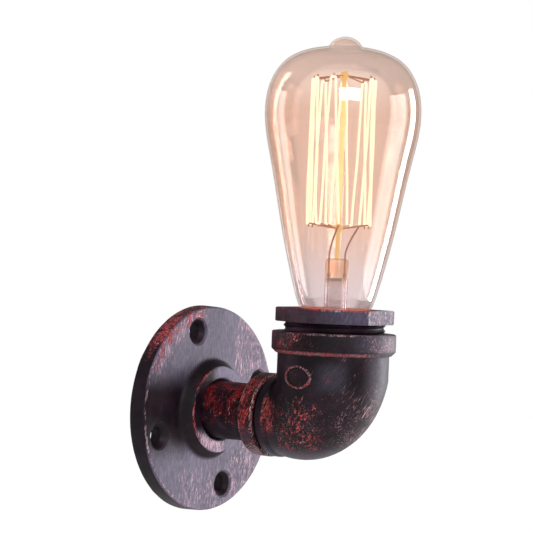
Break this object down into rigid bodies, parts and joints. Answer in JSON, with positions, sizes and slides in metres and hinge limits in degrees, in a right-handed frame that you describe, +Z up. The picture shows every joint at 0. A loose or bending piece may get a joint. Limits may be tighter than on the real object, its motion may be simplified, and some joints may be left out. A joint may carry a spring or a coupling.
{
  "type": "wall light",
  "caption": "Industrial pipe wall light: round floor flange, pipe nipple and reducing elbow with an upright screw-in filament bulb.",
  "frame": {"origin": "the centre of the screw circle on the flange's back, in the wall's plane", "axes": "+Y into the wall, -Y out from the wall along the pipe, +Z up along the bulb"},
  "size_m": [0.088, 0.1027, 0.2012],
  "materials": {
    "brushed_cast_iron": "black paint over a casting, dry-brushed with copper red",
    "brushed_pipe": "black paint over steel, dry-brushed with copper red",
    "ceramic": "glazed white ceramic",
    "brass": "plain",
    "plated_steel": "zinc plated",
    "line_sleeve": "heat-resisting sleeve",
    "neutral_sleeve": "heat-resisting sleeve",
    "earth_sleeve": "heat-resisting sleeve",
    "amber_glass": "clear glass with an amber tint",
    "clear_glass": "clear glass",
    "black_glass": "black glass",
    "solder": "solder",
    "support_wire": "oxidised wire",
    "filament": "glowing filament wire"
  },
  "bodies": {
    "wall_base": {"wall_flange": "brushed_cast_iron", "pipe_nipple": "brushed_pipe"},
    "arm": {"reducer_bush": "brushed_pipe", "elbow": "brushed_cast_iron", "hex_bushing": "brushed_cast_iron", "lampholder_body": "ceramic", "screw_shell": "brass", "centre_terminal": "brass", "shell_terminal": "brass", "terminal_screws": "plated_steel", "line_lead": "line_sleeve", "neutral_lead": "neutral_sleeve", "earth_lead": "earth_sleeve", "earth_lug": "plated_steel", "earth_screw": "plated_steel"},
    "contact_leaf": {"centre_contact": "brass"},
    "bulb_carrier": {"cap_contact": "solder"},
    "bulb": {"bulb_envelope": "amber_glass", "bulb_cap": "brass", "cap_cement": "ceramic", "cap_insulator": "black_glass", "glass_stem": "clear_glass", "centre_rod": "clear_glass", "top_supports": "support_wire", "bottom_supports": "support_wire", "filament": "filament", "lead_in_wire_left": "support_wire", "lead_in_wire_right": "support_wire"}
  },
  "joints": [
    {"name": "elbow_turn", "type": "hinge", "parent": "wall_base", "child": "arm", "pos_m": [0, 0, 0], "axis": [0, 1, 0], "range_deg": [-90, 90]},
    {"name": "contact_press", "type": "hinge", "parent": "arm", "child": "contact_leaf", "pos_m": [-0.0046, -0.07075, 0.0156], "axis": [0, 1, 0], "range_deg": [0, 6], "stiffness_Nm_per_rad": 0.002},
    {"name": "bulb_rise", "type": "slide", "parent": "arm", "child": "bulb_carrier", "axis": [0, 0, 1], "range_m": [0, 0.0146]},
    {"name": "bulb_turn", "type": "hinge", "parent": "bulb_carrier", "child": "bulb", "pos_m": [0, -0.07075, 0], "axis": [0, 0, 1], "range_deg": [0, 1440]}
  ],
  "couplings": [
    {"joint": "bulb_rise", "follows": "bulb_turn", "m_per_rad": 0.00057614}
  ]
}
